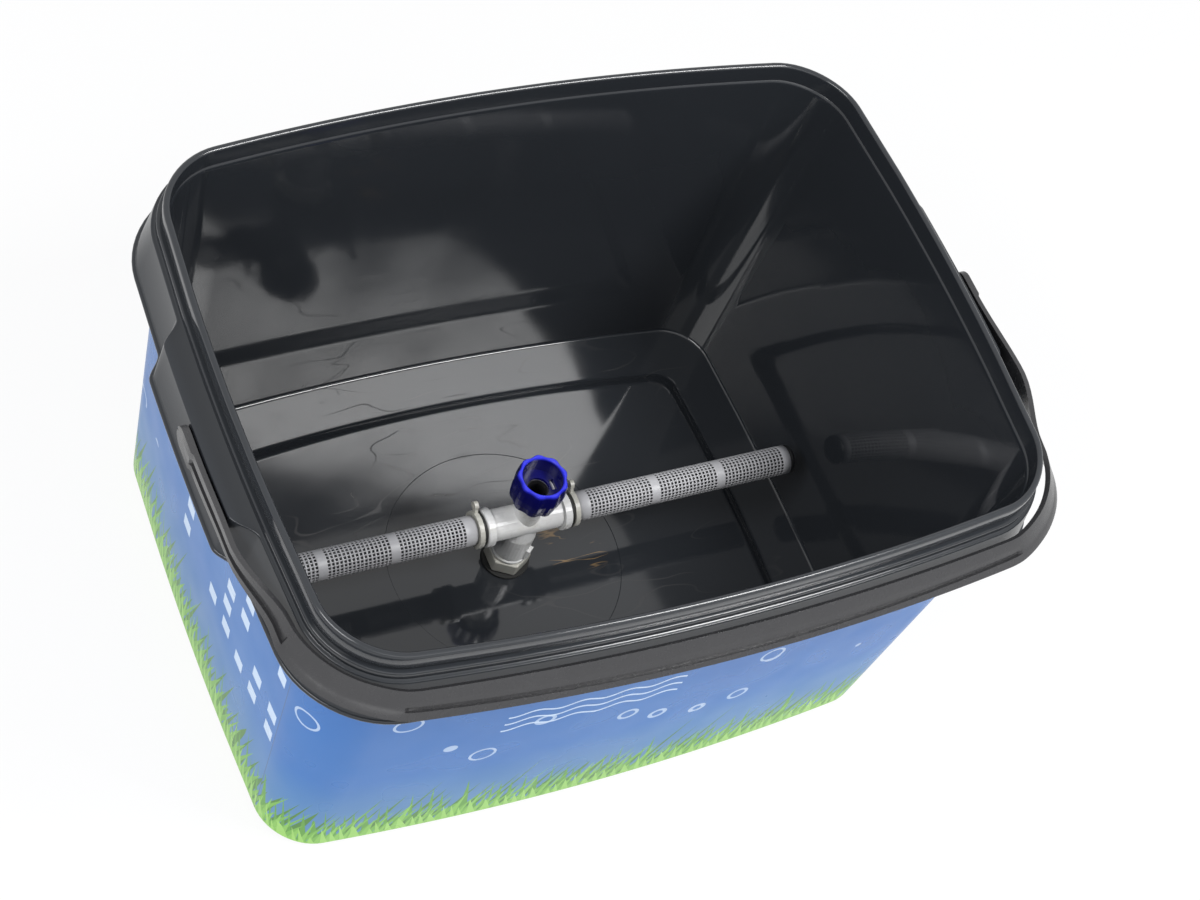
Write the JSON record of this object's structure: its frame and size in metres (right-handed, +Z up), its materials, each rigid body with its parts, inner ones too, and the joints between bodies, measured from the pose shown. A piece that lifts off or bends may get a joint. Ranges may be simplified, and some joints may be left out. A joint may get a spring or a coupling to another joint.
{
  "type": "portable waste water tank",
  "caption": "Open rectangular plastic tub with a swinging bail handle, a printed skirt and a pipe fitting with perforated sleeves standing on its floor.",
  "frame": {"origin": "on the ground, on the fitting's axis in the middle of the tub", "axes": "+Z up, +X along the tub's length, -Y towards the side where the bail rests"},
  "size_m": [0.4196, 0.3227, 0.228],
  "materials": {
    "anthracite_plastic": "moulded, glossy",
    "strap_plastic": "moulded, satin",
    "printed_film": "printed film, satin",
    "white_plastic": "moulded",
    "cream_plastic": "moulded",
    "blue_plastic": "moulded, glossy",
    "grey_plastic": "moulded mesh",
    "black_plastic": "moulded",
    "black_rubber": "matt"
  },
  "bodies": {
    "tub_body": {"tub": "anthracite_plastic", "printed_label": "printed_film", "floor_spigot": "cream_plastic", "floor_gasket": "black_rubber", "floor_washer": "black_rubber", "hex_nut": "cream_plastic", "thrust_ring": "white_plastic", "fitting_body": "white_plastic", "collar_seal": "black_rubber", "grip_ring": "white_plastic", "left_socket_seal": "black_rubber", "right_socket_seal": "black_rubber", "left_locking_ring": "cream_plastic", "right_locking_ring": "cream_plastic"},
    "bail": {"bail_handle": "strap_plastic"},
    "collar": {"collar_nut": "blue_plastic"},
    "left_strainer": {"left_sleeve": "grey_plastic", "left_end_cap": "black_plastic"},
    "right_strainer": {"right_sleeve": "grey_plastic", "right_end_cap": "black_plastic"}
  },
  "joints": [
    {"name": "bail_swing", "type": "hinge", "parent": "tub_body", "child": "bail", "pos_m": [0, 0, 0.2048], "axis": [-1, 0, 0], "range_deg": [0, 180]},
    {"name": "collar_turn", "type": "hinge", "parent": "tub_body", "child": "collar", "pos_m": [0, 0, 0.0725], "axis": [0, 0, 1], "range_deg": [0, 540]},
    {"name": "left_sleeve_pull", "type": "slide", "parent": "tub_body", "child": "left_strainer", "axis": [-1, 0, 0], "range_m": [0, 0.01]},
    {"name": "right_sleeve_pull", "type": "slide", "parent": "tub_body", "child": "right_strainer", "axis": [1, 0, 0], "range_m": [0, 0.01]}
  ]
}
